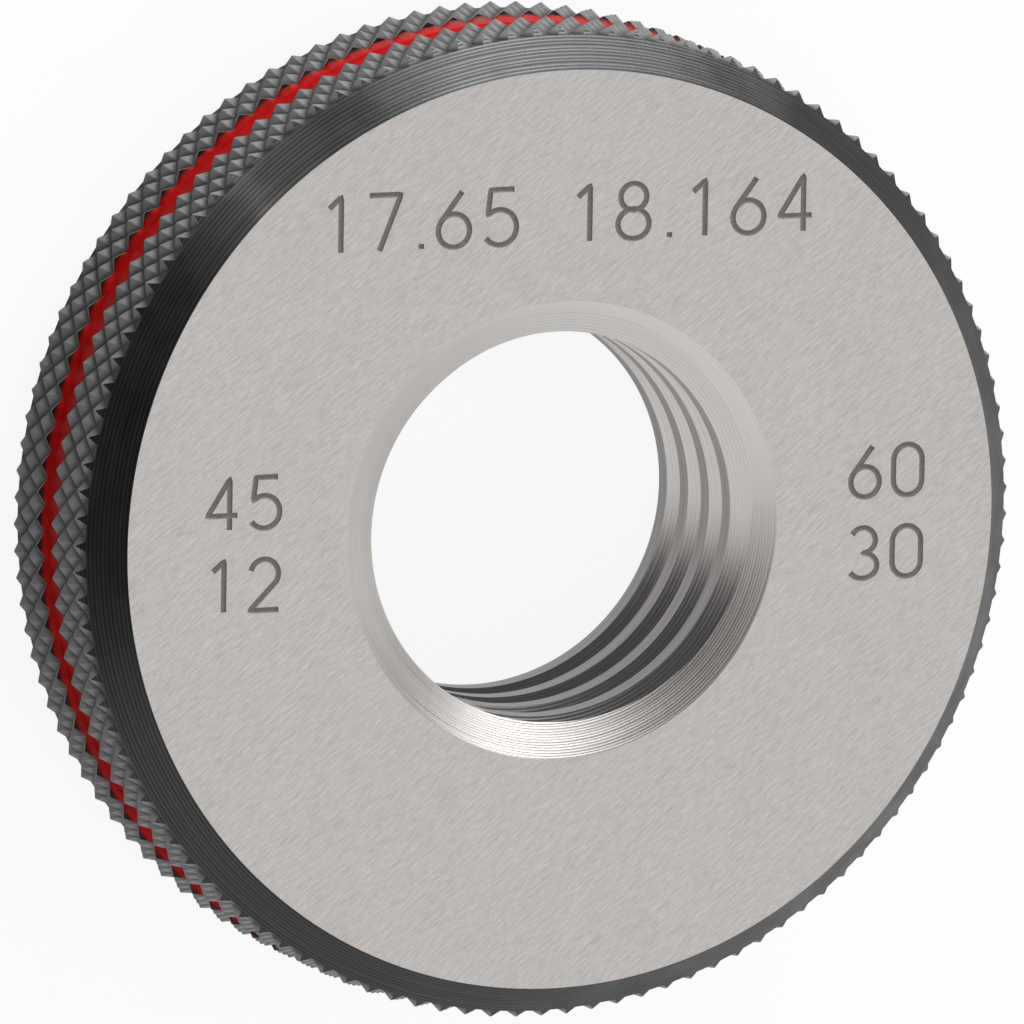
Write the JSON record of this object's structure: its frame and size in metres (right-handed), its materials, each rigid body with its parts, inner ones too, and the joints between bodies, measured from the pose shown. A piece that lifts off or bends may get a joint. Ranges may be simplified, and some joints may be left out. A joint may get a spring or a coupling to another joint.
{
  "type": "thread ring gauge",
  "caption": "Hardened steel ring with a right-hand threaded bore, bevelled and knurled rim and a red lacquered marking groove, for checking external threads.",
  "frame": {"origin": "centre of the back face, at the middle of the bore, where the ring lies on a table", "axes": "+Z along the bore axis from the back face to the marked front face, +X along the line of the marking, +Y to the top of the marking"},
  "size_m": [0.045, 0.045, 0.012],
  "materials": {
    "gauge_steel": "ground faces, black oxide bevels and knurl",
    "groove_lacquer": "gloss lacquer"
  },
  "bodies": {
    "root": {"gauge_ring": "gauge_steel", "groove_paint": "groove_lacquer"}
  },
  "joints": []
}
